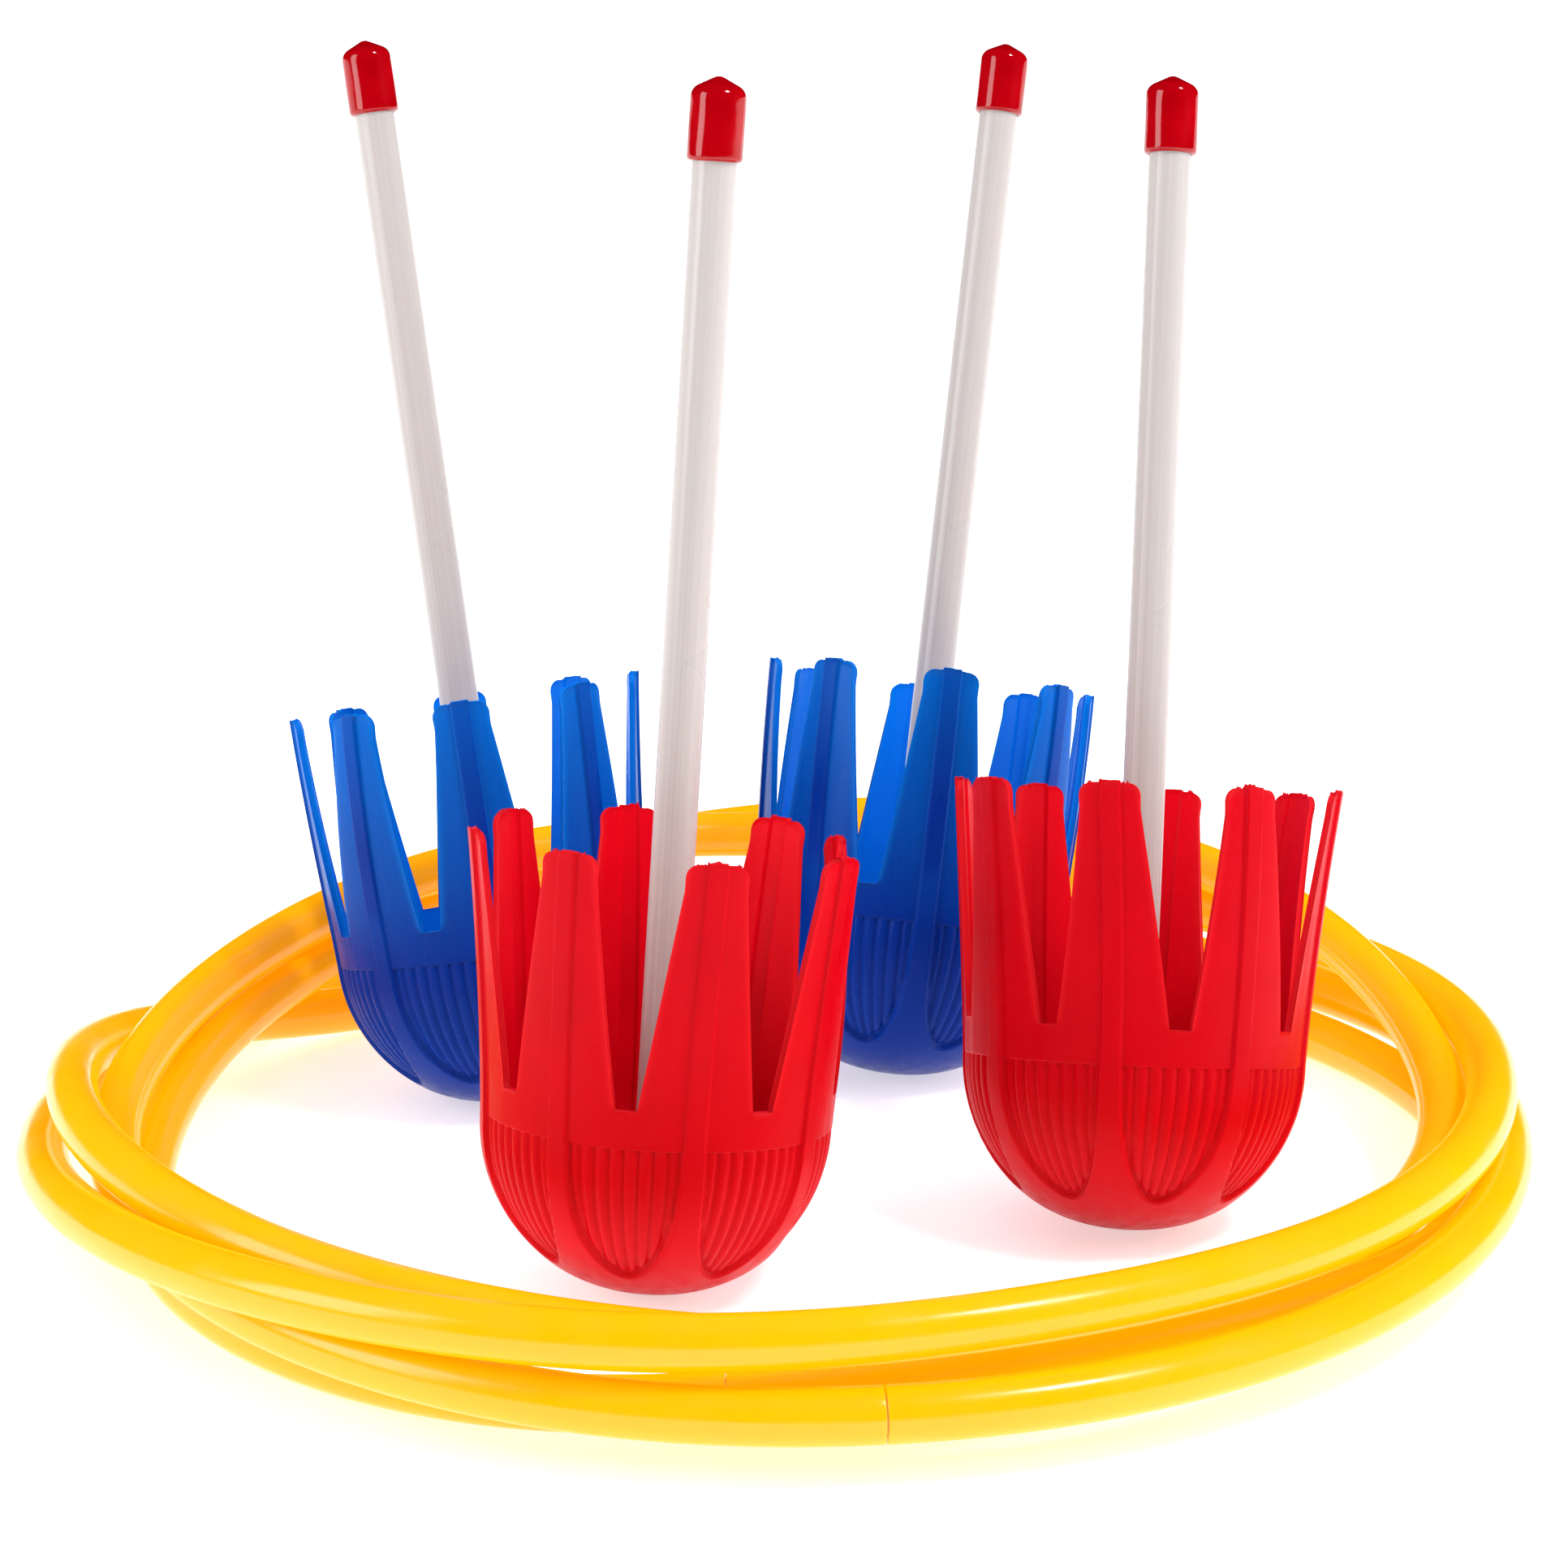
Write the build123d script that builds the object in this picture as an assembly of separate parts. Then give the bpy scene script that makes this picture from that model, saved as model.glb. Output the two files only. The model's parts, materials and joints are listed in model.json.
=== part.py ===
from build123d import *
import math
import os

# Lawn dart set: four weighted-nose darts standing inside two tube target rings.
# Each target ring is one closed hoop of plastic tube wound into two loops, and the
# two rings are wound together, so their loops cross over and under each other.
# Millimetres, +Z up, +Y away from the front, origin on the ground under the middle.

# ---- dart, in its own frame: tip of the nose at the origin, shaft along +Z ----
DART_LENGTH = 313.0
NOSE_R = 45.5            # outside of the hemispherical nose
SHELL_WALL = 2.2
CROWN_Z = 119.5          # tips of the fins
CROWN_R = 51.8           # outside radius at the fin tips
FIN_COUNT = 8
SLOT_Z = 56.0            # bottom of the slots between the fins
SLOT_BOTTOM_W = 5.8
FIN_TIP_W = 16.6
FIN_TIP_FILLET = 4.0
RIB_W = 5.6              # raised flat rib down the middle of each fin
RIB_H = 0.8
RIB_Z = 16.0             # where the ribs run out into the nose

BALLAST_TOP_Z = 19.0
BALLAST_GAP = 0.1        # slack between the ballast and the inside of the nose
BALLAST_HOLE_R = 10.5

PLATE_T = 2.5            # disc of the shaft socket, which lies on the ballast
SOCKET_R = 9.0
SOCKET_FOOT_Z = 8.0
SOCKET_TOP_Z = 43.0
SOCKET_FLOOR_Z = 14.0
SHAFT_R = 5.7
SHAFT_BORE_R = 4.5
RUNNING_GAP = 0.05       # radial clearance of the shaft in its socket and cap

CAP_R = 7.1
CAP_LENGTH = 21.4
CAP_CROWN_T = 4.0        # vinyl over the end of the shaft, at the middle of the cap
CAP_SLOPE = 30.0         # slope of the shallow cone on top, in degrees
CAP_APEX_R = 3.0         # rounding of the cone's point
CAP_SHOULDER_R = 2.6     # rounding between the cone and the wall
CAP_LIP_R = 0.5          # rounding of the open end

# ---- where each dart stands: nose centre x, y, lean back, lean to the right, spin ----
DARTS = {
    "red_dart_front": (-34.0, -88.0, 8.0, 3.6, 13.0),
    "red_dart_right": (93.3, -43.0, 16.0, 2.5, -13.0),
    "blue_dart_left": (-86.8, 60.0, 11.5, -8.1, 7.0),
    "blue_dart_right": (35.5, 83.5, 16.5, 6.8, 3.0),
}

# ---- target rings ----
TUBE_R = 7.0
TUBE_BORE_R = 5.5
SEAM_GAP = 0.4           # butt joint between the two ends of one tube
CONNECTOR_R = 5.0
CONNECTOR_LENGTH = 30.0
STATIONS_PER_LOOP = 16   # stations of the tube's route in one loop
ARC_SHARE = 0.45         # share of the shorter run that each tangent arc takes up

# Angle of each ring's seam about +Z, then the radius and height of its centreline at
# each station, going anticlockwise from the seam twice round.
RINGS = {
    "ring_a": (
        -94.0,
        [(193, 17), (190, 20), (195, 13), (192, 7), (190, 8), (185, 7), (179, 7), (173, 7),
         (168, 7), (167, 7), (175, 7), (196, 24), (199, 38), (200, 38), (197, 32), (187, 25),
         (178, 19), (176, 14), (179, 15), (184, 21), (181, 31), (183, 43), (191, 50), (197, 49),
         (195, 44), (186, 36), (175, 28), (173, 21), (176, 12), (189, 7), (196, 7), (199, 10)],
    ),
    "ring_b": (
        -84.0,
        [(214, 18), (211, 19), (204, 20), (198, 20), (200, 18), (200, 14), (200, 11), (200, 9),
         (200, 7), (201, 7), (202, 9), (204, 14), (209, 22), (212, 29), (213, 33), (212, 34),
         (203, 36), (200, 35), (196, 34), (195, 34), (197, 33), (193, 31), (186, 37), (181, 45),
         (177, 48), (175, 47), (175, 40), (180, 32), (190, 25), (200, 20), (209, 18), (214, 17)],
    ),
}


def arc_point(centre, radius, angle_deg):
    """Point of an arc in a half section, angle from the outward direction towards +Z."""
    angle = math.radians(angle_deg)
    return (centre[0] + radius * math.cos(angle), centre[1] + radius * math.sin(angle))


def arc(centre, radius, start_deg, stop_deg):
    middle_deg = (start_deg + stop_deg) / 2
    return ThreePointArc(*(arc_point(centre, radius, deg) for deg in (start_deg, middle_deg, stop_deg)))


def wall_profile(outer, inner):
    """Half section between two skins that follow the nose and the flaring crown."""
    flare = CROWN_R - NOSE_R
    with BuildSketch(Plane.XZ) as section:
        with BuildLine():
            Line((0, NOSE_R - outer), (0, NOSE_R - inner))
            arc((0, NOSE_R), inner, -90, 0)
            Line((inner, NOSE_R), (inner + flare, CROWN_Z))
            Line((inner + flare, CROWN_Z), (outer + flare, CROWN_Z))
            Line((outer + flare, CROWN_Z), (outer, NOSE_R))
            arc((0, NOSE_R), outer, 0, -90)
        make_face()
    return section.sketch


def wall(outer, inner):
    return revolve(wall_profile(outer, inner), Axis.Z)


def slot_cutter():
    """The gap between two fins, which also rounds the fins' upper corners."""
    pitch = 2 * math.pi * CROWN_R / FIN_COUNT
    gap = (pitch - FIN_TIP_W) / 2
    foot = SLOT_BOTTOM_W / 2
    r = FIN_TIP_FILLET
    over = CROWN_Z + 1
    bend = r * (1 - math.sqrt(0.5))
    with BuildSketch(Plane.XZ) as outline:
        with BuildLine() as half:
            Polyline((0, SLOT_Z), (foot, SLOT_Z), (gap, CROWN_Z - r))
            ThreePointArc((gap, CROWN_Z - r), (gap + bend, CROWN_Z - bend), (gap + r, CROWN_Z))
            Polyline((gap + r, CROWN_Z), (gap + r, over), (0, over))
            mirror(half.line, Plane.YZ)
        make_face()
    return extrude(outline.sketch, -2 * CROWN_R)


def fin_ribs():
    """Raised ribs on the outside of the fins, one in the middle of each."""
    skin = wall(NOSE_R + RIB_H, NOSE_R - SHELL_WALL / 2)
    bars = Part()
    for index in range(FIN_COUNT):
        bar = Box(2 * CROWN_R, RIB_W, CROWN_Z - RIB_Z, align=(Align.MIN, Align.CENTER, Align.MIN))
        bars += Rot(0, 0, index * 360 / FIN_COUNT) * Pos(0, 0, RIB_Z) * bar
    return skin & bars


def dart_shell():
    """Moulded cup with its crown of fins. A fin's middle lies on -Y."""
    shell = wall(NOSE_R, NOSE_R - SHELL_WALL)
    cutter = slot_cutter()
    half_pitch = 180 / FIN_COUNT
    for index in range(FIN_COUNT):
        shell -= Rot(0, 0, half_pitch + 2 * half_pitch * index) * cutter
    return shell + Rot(0, 0, 90) * fin_ribs()


def ballast():
    """Cast weight in the bottom of the nose, with a hole for the socket's foot."""
    radius = NOSE_R - SHELL_WALL - BALLAST_GAP
    ball = Pos(0, 0, NOSE_R) * Sphere(radius)
    keep = Box(4 * NOSE_R, 4 * NOSE_R, BALLAST_TOP_Z, align=(Align.CENTER, Align.CENTER, Align.MIN))
    hole_depth = BALLAST_TOP_Z - SOCKET_FOOT_Z
    hole = Pos(0, 0, SOCKET_FOOT_Z) * Cylinder(
        BALLAST_HOLE_R, hole_depth, align=(Align.CENTER, Align.CENTER, Align.MIN)
    )
    return (ball & keep) - hole


def shaft_socket():
    """Disc that shuts the ballast in, with the sleeve that the shaft pushes into."""
    inside = NOSE_R - SHELL_WALL - BALLAST_GAP
    drop = NOSE_R - BALLAST_TOP_Z
    plate_r = math.sqrt(inside**2 - drop**2)
    base = (Align.CENTER, Align.CENTER, Align.MIN)
    plate = Pos(0, 0, BALLAST_TOP_Z) * Cylinder(plate_r, PLATE_T, align=base)
    sleeve = Pos(0, 0, SOCKET_FOOT_Z) * Cylinder(SOCKET_R, SOCKET_TOP_Z - SOCKET_FOOT_Z, align=base)
    bore_depth = SOCKET_TOP_Z - SOCKET_FLOOR_Z
    bore = Pos(0, 0, SOCKET_FLOOR_Z) * Cylinder(SHAFT_R + RUNNING_GAP, bore_depth, align=base)
    return plate + sleeve - bore


def shaft_top_z():
    return DART_LENGTH - CAP_CROWN_T


def shaft():
    length = shaft_top_z() - SOCKET_FLOOR_Z
    base = (Align.CENTER, Align.CENTER, Align.MIN)
    tube = Cylinder(SHAFT_R, length, align=base) - Cylinder(SHAFT_BORE_R, length, align=base)
    return Pos(0, 0, SOCKET_FLOOR_Z) * tube


def cap():
    """Soft vinyl cap over the top of the shaft: straight wall, round shoulder, shallow cone."""
    foot = DART_LENGTH - CAP_LENGTH
    roof = shaft_top_z()
    bore = SHAFT_R + RUNNING_GAP
    slope = math.radians(CAP_SLOPE)
    upright = 90 - CAP_SLOPE
    apex = (0, DART_LENGTH - CAP_APEX_R)
    cone_top = arc_point(apex, CAP_APEX_R, upright)
    edge_z = cone_top[1] - (CAP_R - cone_top[0]) * math.tan(slope)
    reach = CAP_SHOULDER_R * math.tan(math.radians(upright) / 2)
    shoulder = (CAP_R - CAP_SHOULDER_R, edge_z - reach)
    lip = (CAP_R - CAP_LIP_R, foot + CAP_LIP_R)
    with BuildSketch(Plane.XZ) as section:
        with BuildLine():
            arc(apex, CAP_APEX_R, 90, upright)
            Line(cone_top, arc_point(shoulder, CAP_SHOULDER_R, upright))
            arc(shoulder, CAP_SHOULDER_R, upright, 0)
            Line((CAP_R, shoulder[1]), (CAP_R, lip[1]))
            arc(lip, CAP_LIP_R, 0, -90)
            Polyline((lip[0], foot), (bore, foot), (bore, roof), (0, roof), (0, DART_LENGTH))
        make_face()
    return revolve(section.sketch, Axis.Z)


def dart_placement(x, y, back, side, spin):
    """Stands a dart on the round of its nose, leaning about the centre of the nose."""
    lean = Rot(0, side, 0) * Rot(-back, 0, 0)
    return Pos(x, y, NOSE_R) * lean * Rot(0, 0, spin) * Pos(0, 0, -NOSE_R)


def route_corners(seam_angle, stations):
    """Corners of the route, set outwards so that its runs pass at the stations' radii."""
    corners = []
    pitch = 2 * math.pi / STATIONS_PER_LOOP
    for index, (radius, height) in enumerate(stations):
        angle = math.radians(seam_angle) + (index + 0.5) * pitch
        reach = radius / math.cos(pitch / 2)
        corners.append(Vector(reach * math.cos(angle), reach * math.sin(angle), height))
    return corners


def ring_route(corners):
    """Open path from one side of the seam, twice round, to the other side of it."""
    along = (corners[0] - corners[-1]).normalized()
    middle = (corners[0] + corners[-1]) / 2
    points = [middle + along * SEAM_GAP / 2, *corners, middle - along * SEAM_GAP / 2]
    loop = [corners[-1], *corners, corners[0]]
    radii = []
    for before, here, after in zip(loop, loop[1:], loop[2:]):
        run_in = here - before
        run_out = after - here
        half_turn = math.radians(run_in.get_angle(run_out)) / 2
        shorter = min(run_in.length, run_out.length)
        radii.append(ARC_SHARE * shorter / math.tan(half_turn))
    return FilletPolyline(*points, radius=radii), radii, middle, along


def ring_tube(route):
    start = Plane(origin=route @ 0, z_dir=route % 0)
    return sweep(start * Circle(TUBE_R), path=route) - sweep(start * Circle(TUBE_BORE_R), path=route)


def connector(middle, along):
    """Plug inside the two ends of one tube, which holds the hoop shut."""
    plug = Cylinder(CONNECTOR_R, CONNECTOR_LENGTH)
    return Plane(origin=middle, z_dir=along) * plug


def build():
    nodes = {}
    for name, (seam_angle, stations) in RINGS.items():
        route, radii, middle, along = ring_route(route_corners(seam_angle, stations))
        print(name, "length", round(route.length, 1), "bend radii", [round(r) for r in radii])
        nodes[name + "_tube"] = ring_tube(route)
        nodes[name + "_connector"] = connector(middle, along)
    pieces = {
        "shell": dart_shell(),
        "ballast": ballast(),
        "socket": shaft_socket(),
        "shaft": shaft(),
        "cap": cap(),
    }
    for name, stand in DARTS.items():
        for piece, solid in pieces.items():
            nodes[name + "_" + piece] = dart_placement(*stand) * solid
    return nodes


def main():
    nodes = build()
    boxes = [solid.bounding_box() for solid in nodes.values()]
    middle_x = (min(box.min.X for box in boxes) + max(box.max.X for box in boxes)) / 2
    middle_y = (min(box.min.Y for box in boxes) + max(box.max.Y for box in boxes)) / 2
    shift = Pos(-middle_x, -middle_y, -min(box.min.Z for box in boxes))
    print("shift", shift.position)
    os.makedirs("parts", exist_ok=True)
    for name, solid in nodes.items():
        export_step(shift * solid, "parts/" + name + ".step")


main()
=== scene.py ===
import json
import math

import bmesh
import bpy
import numpy as np
from mathutils import Matrix, Vector


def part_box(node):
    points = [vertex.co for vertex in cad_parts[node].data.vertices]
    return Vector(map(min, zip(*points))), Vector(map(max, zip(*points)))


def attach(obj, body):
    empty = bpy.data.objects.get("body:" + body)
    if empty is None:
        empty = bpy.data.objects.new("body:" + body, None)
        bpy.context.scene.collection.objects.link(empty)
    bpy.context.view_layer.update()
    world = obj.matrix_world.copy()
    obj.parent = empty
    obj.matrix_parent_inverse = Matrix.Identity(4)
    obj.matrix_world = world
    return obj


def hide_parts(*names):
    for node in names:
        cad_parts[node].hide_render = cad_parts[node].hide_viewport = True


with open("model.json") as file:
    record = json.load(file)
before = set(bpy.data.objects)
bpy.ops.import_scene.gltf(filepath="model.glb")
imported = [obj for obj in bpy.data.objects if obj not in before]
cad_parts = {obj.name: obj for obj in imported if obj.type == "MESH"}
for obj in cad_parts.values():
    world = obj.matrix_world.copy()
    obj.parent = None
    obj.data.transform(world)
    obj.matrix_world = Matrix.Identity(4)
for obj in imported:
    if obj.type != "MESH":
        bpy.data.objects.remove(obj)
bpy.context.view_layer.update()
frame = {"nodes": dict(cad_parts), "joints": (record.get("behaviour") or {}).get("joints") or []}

# Lengths below are in millimetres, angles in degrees. MM turns them into Blender's metres.
MM = 0.001

# ---- dart, in its own frame: tip of the nose at the origin, shaft along +Z ----
DARTS = ("red_dart_front", "red_dart_right", "blue_dart_left", "blue_dart_right")
SPIN = {"red_dart_front": 13, "red_dart_right": -13, "blue_dart_left": 7, "blue_dart_right": 3}
NOSE_R = 45.5
CROWN_Z = 119.5
CROWN_R = 51.8
CROWN_CURVE = 1.25         # power of the crown's flare, so that it leaves the ball smoothly
WALL = 2.0
FIN_COUNT = 8
SLOT_Z = 56.0
SLOT_HALF = 2.95
FIN_TIP_W = 16.6
FIN_CORNER_R = 3.4
RIB_H = 0.9                # ribs and nose land stand this proud of the fins' faces
RIB_HALF_W = 2.65
RIB_EDGE = 0.3             # width of the step at the side of a rib
TIP_NUB_H = 0.7            # stub left on the end of each rib
FLASH = {"red": 0.9, "blue": 0.25}     # tallest moulding flash on the fins' ends
RIM_BEVEL = 0.28
RIM_INSET = 0.14           # share of the wall that the rounding takes up on each side
FIN_THINNING = 0.3         # how much thinner the fins' ends are than the ball
FLASH_CHANCE = 0.14
RAGGED = 0.06              # how uneven the fins' cut ends are

PANEL_TOP_Z = 46.3
PANEL_DEPTH = 52.0         # degrees of the ball from a panel's straight top down to its arch
PANEL_HALF = 19.3          # half a panel's width at its top, in degrees round the axis
PANEL_WALL = 1.1           # width of the sloped wall round a panel
REEDS = 8                  # convex reeds across one panel
REED_VALLEY = 1.0
REED_CREST = 0.15
REED_END = 1.3             # length over which a reed's end rounds down to the moat
PANEL_TOP_EDGE = 0.35      # width of the step above a panel
NOSE_LAND = 36             # degrees from the pole over which the land between panels rises

SHAFT_LOW_Z = 14.0
SHAFT_HIGH_Z = 309.0
SHAFT_R = 5.7
SHAFT_BORE_R = 4.5
SHAFT_EASE = 0.35
SHAFT_WOBBLE = 0.03
SHAFT_SEGMENTS = 56

CAP_LOW_Z = 291.6
CAP_TOP_Z = 313.0
CAP_R = 7.1
CAP_BORE_R = 5.75
CAP_SLOPE = 27.0           # slope of the cap's conical top
CAP_APEX_R = 3.0
CAP_SHOULDER_R = 3.4
CAP_LIP_R = 1.1
CAP_WOBBLE = 0.09
CAP_SEGMENTS = 64

# How far each fin has sprung outwards at its tip, in millimetres, and round, in degrees,
# going anticlockwise from the front one.
FIN_SPRING = {
    "red_dart_front": [(0, 0.6), (0, 0), (-7.5, 0.5), (0.5, -0.5),
                       (0, 1.8), (0.6, 0), (0.8, -0.5), (-1.5, 1.5)],
    "red_dart_right": [(0.4, -2.6), (-2.5, -2.2), (0.8, 0), (1.5, -1.5),
                       (0.5, -2), (-1.5, -1), (-1, 0), (0.3, 0)],
    "blue_dart_left": [(0, -0.5), (-1.5, -1), (0.8, 0), (-1.2, 0.6),
                       (0.5, -0.5), (-2.5, -0.5), (-2.8, 0), (-4, 3)],
    "blue_dart_right": [(0.5, -1), (-3.6, -0.5), (-4, 0), (-3, 0.8),
                        (0.3, -1), (-2, -1), (-2.8, 0), (-2.6, 1)],
}

# ---- target rings ----
RING_R = 200.0             # middling radius of a hoop
RING_STEPS = 900
TUBE_R = 7.0
TUBE_BORE_R = 5.5
TUBE_SEGMENTS = 40
TUBE_END = ((0.22, 0.0), (0.06, 0.1), (0.0, 0.3))      # inwards and along, round a cut end
BORE_STRIDE = 6            # the bore takes one in this many of the centreline's steps
SEAM_GAP = 0.4
STATIONS_PER_LOOP = 16

# Angle of each ring's seam about +Z, then the radius and height of its centreline at
# each station, going anticlockwise from the seam twice round. These numbers weren't chosen by
# hand: they are the rounded result of a fit, apart from four heights that were changed after it.
RINGS = {
    "ring_a": (
        -94.0,
        [(193, 17), (190, 20), (195, 13), (192, 7), (190, 8), (185, 7), (179, 7), (173, 7),
         (168, 7), (167, 7), (175, 7), (196, 24), (199, 38), (200, 38), (197, 32), (187, 25),
         (178, 19), (176, 14), (179, 15), (184, 21), (181, 31), (183, 43), (191, 50), (197, 49),
         (195, 44), (186, 36), (175, 28), (173, 21), (176, 12), (189, 7), (196, 7), (199, 10)],
    ),
    "ring_b": (
        -84.0,
        [(214, 18), (211, 19), (204, 20), (198, 20), (200, 18), (200, 14), (200, 11), (200, 9),
         (200, 7), (201, 7), (202, 9), (204, 14), (209, 22), (212, 29), (213, 33), (212, 34),
         (203, 36), (200, 35), (196, 34), (195, 34), (197, 33), (193, 31), (186, 37), (181, 45),
         (177, 48), (175, 47), (175, 40), (180, 32), (190, 25), (200, 20), (209, 18), (214, 17)],
    ),
}

# ---- camera, about the middle of the rings; the five values come from a fit too ----
CAMERA_BACK = 1079.6
CAMERA_HEIGHT = 404.1
CAMERA_PITCH = 15.165
CAMERA_YAW = -0.067
CAMERA_LENS = 92.8

# ---- looks ----
RIB_SHADE = 0.24           # painted shade: how far back down the colour ramp the ribs lie
INSIDE_PAINTED_LIGHT = 1.36         # painted light: how much lighter the inner skin is made, up the fins
FRONT_DIM = 0.22           # the studio is darker behind the camera than round the sides
STUDIO_STRENGTH = 1.05
FLOOR_GLOW = 0.55          # white emission that keeps the floor pale
TUBE_GLOW = 0.38           # emission that stands for light inside the translucent tube
FLOOR_HALF = 30.0          # metres
NOISE_SPAN = (0.3, 0.7)    # most of a noise texture lies between these

# Each lamp's place across and back from the rings' middle and above the floor, then its
# width and height, all in metres, and its power in watts.
LAMPS = {
    "key": ((0.8, -0.6, 1.45), (0.3, 0.3), 10),
    "left": ((-1.3, -0.55, 0.7), (0.7, 0.85), 8.5),
    "right": ((1.3, -0.4, 0.6), (0.7, 0.9), 6),
}
LAMP_AIM_Z = 0.1


# ------------------------------------------------------------------ mesh helpers

def smoothstep(x):
    t = np.clip(x, 0.0, 1.0)
    return t * t * (3 - 2 * t)


def make_object(name, points, faces, values=None, stand=None):
    """A smooth shaded mesh object from points in metres, stood in the shared frame.

    The points as given stay on the mesh as the attribute "place", for the materials.
    """
    points = np.asarray(points)
    placed = points
    if stand is not None:
        turn = np.array(stand.to_3x3())
        placed = points @ turn.T + np.array(stand.translation)
    mesh = bpy.data.meshes.new(name)
    mesh.from_pydata(placed.tolist(), [], faces)
    place = mesh.attributes.new("place", "FLOAT_VECTOR", "POINT")
    place.data.foreach_set("vector", points.astype(np.float32).ravel())
    mesh.polygons.foreach_set("use_smooth", [True] * len(mesh.polygons))
    for key, data in (values or {}).items():
        layer = mesh.attributes.new(key, "FLOAT", "POINT")
        layer.data.foreach_set("value", np.asarray(data, np.float32))
    mesh.update()
    obj = bpy.data.objects.new(name, mesh)
    bpy.context.scene.collection.objects.link(obj)
    return obj


def grid_faces(rows, cols, first=0, closed=True, flip=False):
    """Quads of a grid of rows by cols points, closed round the columns or open."""
    faces = []
    spans = cols if closed else cols - 1
    for row in range(rows - 1):
        low = first + row * cols
        for col in range(spans):
            a = low + col
            b = low + (col + 1) % cols
            quad = (a, b, b + cols, a + cols)
            faces.append(quad[::-1] if flip else quad)
    return faces


def section_faces(rows, cols):
    """Quads of a grid closed both ways: its last row also joins its first."""
    last = (rows - 1) * cols
    closing = [(last + col, last + (col + 1) % cols, (col + 1) % cols, col) for col in range(cols)]
    return grid_faces(rows, cols) + closing


def lathe(profile, segments, wobble, seed):
    """Points and faces of a closed section of (r, z), in millimetres, turned about Z."""
    rng = np.random.default_rng(seed)
    angles = np.linspace(0, 2 * math.pi, segments, endpoint=False)
    phases = rng.uniform(0, 2 * math.pi, 3)
    points = []
    for r, z in profile:
        dent = sum(
            np.cos((k + 2) * angles + phases[k] + z * 0.11 * (k + 1)) for k in range(3)
        ) * wobble / 3
        radius = np.maximum(r + dent * min(1.0, r / CAP_R), 0.0)
        points.append(np.stack([radius * np.cos(angles), radius * np.sin(angles),
                                np.full(segments, z)], 1))
    return np.concatenate(points) * MM, section_faces(len(profile), segments)


def weld(obj, distance=1e-6):
    """Joins the doubled points of a mesh, such as those on a lathe's axis."""
    bm = bmesh.new()
    bm.from_mesh(obj.data)
    bmesh.ops.remove_doubles(bm, verts=bm.verts, dist=distance)
    bmesh.ops.recalc_face_normals(bm, faces=bm.faces)
    bm.to_mesh(obj.data)
    bm.free()
    return obj


# ------------------------------------------------------------------ where things are

def joint_axis(dart):
    """Direction in which the dart's shaft pulls out, towards its cap."""
    for joint in frame["joints"]:
        if joint["name"] == dart + "_shaft_pull":
            return Vector(joint["axis"]).normalized()
    raise ValueError(dart)


def dart_matrix(dart):
    """Dart's own frame in the shared frame: its axis is the shaft's, its spin is its own."""
    axis = joint_axis(dart)
    low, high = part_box(dart + "_shaft")
    middle = (SHAFT_LOW_Z + SHAFT_HIGH_Z) / 2 * MM
    tip = (low + high) / 2 - axis * middle
    back = math.asin(axis.y)
    side = math.atan2(axis.x, axis.z)
    turn = (
        Matrix.Rotation(side, 4, "Y")
        @ Matrix.Rotation(-back, 4, "X")
        @ Matrix.Rotation(math.radians(SPIN[dart]), 4, "Z")
    )
    return Matrix.Translation(tip) @ turn


# ------------------------------------------------------------------ dart shell

BALL_ARC = NOSE_R * math.pi / 2
PANEL_TOP_S = NOSE_R * math.acos((NOSE_R - PANEL_TOP_Z) / NOSE_R)
HALF_PITCH = 180.0 / FIN_COUNT
RIB_COLUMN = 3.45          # columns nearer a fin's middle than this, in degrees, stay on its rib
RIB_BACK = 0.8             # share of its height that a rib's back stands proud of the inner skin
OUTER_STEP = 0.5           # where a rib's step lies across its edge, in widths of the step
INNER_STEP = 0.3
EDGE_HIGHLIGHT_BAND = 2.5            # width of the painted highlight, a paler band along a fin's edge
FIN_ROWS = 34
NOSE_ROWS = 18
BAND_ROWS = 7
FLUTE_STEP = 0.55          # distance between rows down the flutes

# Where the columns lie: in degrees about a fin's middle, then as shares of each reed, and of
# the way from a fin's edge to the middle of the slot.
FIN_COLUMNS = (0.0, 1.2, 2.4, 3.05, 3.35, 3.65, 4.2, 5.2, 6.3, 7.3)
REED_COLUMNS = (0.0, 0.12, 0.3, 0.5, 0.7, 0.88)
SLOT_COLUMNS = (0.2, 0.42, 0.64, 0.84, 1.0)


def base_skin(s):
    """Radius, height and outward direction (r, z) of the plain skin at meridian length s."""
    s = np.asarray(s, float)
    phi = np.minimum(s, BALL_ARC) / NOSE_R
    rise = np.maximum(s - BALL_ARC, 0.0) / (CROWN_Z - NOSE_R)
    flare = CROWN_R - NOSE_R
    r = NOSE_R * np.sin(phi) + flare * rise ** CROWN_CURVE
    z = NOSE_R - NOSE_R * np.cos(phi) + np.maximum(s - BALL_ARC, 0.0)
    slope = flare * CROWN_CURVE * rise ** (CROWN_CURVE - 1) / (CROWN_Z - NOSE_R)
    slope = np.where(rise > 0, slope, 0.0)
    out_r = np.sin(phi)
    out_z = -np.cos(phi) - slope
    size = np.hypot(out_r, out_z)
    return r, z, out_r / size, out_z / size


def s_of_z(z):
    """Meridian length at height z, which is at or above the ball's equator."""
    return BALL_ARC + z - NOSE_R


def rib_step(half, turn, r, offset):
    """1 on a rib and 0 beside it, with a steep step at the rib's side."""
    return smoothstep((half - np.abs(turn)) * np.pi / 180 * r / RIB_EDGE + offset)


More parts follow.
